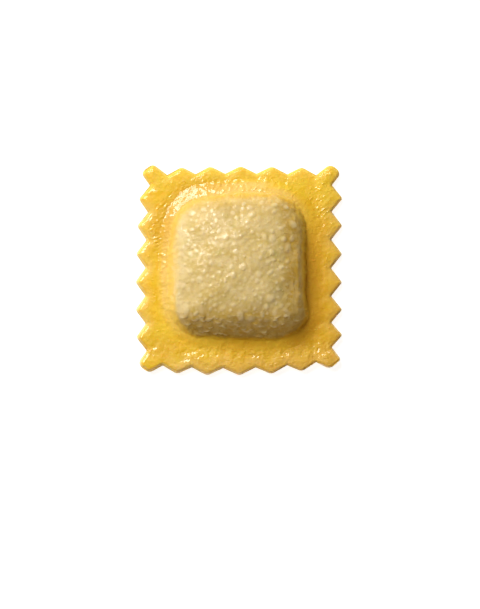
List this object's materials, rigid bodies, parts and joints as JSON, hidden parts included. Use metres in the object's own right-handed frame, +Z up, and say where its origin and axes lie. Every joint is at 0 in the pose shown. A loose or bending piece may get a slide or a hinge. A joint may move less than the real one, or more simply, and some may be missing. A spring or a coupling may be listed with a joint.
{
  "type": "filled pasta square",
  "caption": "Square filled pasta piece with a zigzag cut rim, corner lugs and a domed pillow over the filling; lies flat on its underside.",
  "frame": {"origin": "on the surface it rests on, under the middle of its outline", "axes": "+Z up through the filled side, +Y towards the side whose teeth bow outwards evenly, +X towards the side whose teeth stand in a straight row"},
  "size_m": [0.0444, 0.0452, 0.0099],
  "materials": {
    "egg_dough": "moist egg dough with a soft wet gloss; pale greenish beige where the filling shows through"
  },
  "bodies": {
    "root": {"raviolo": "egg_dough"}
  },
  "joints": []
}
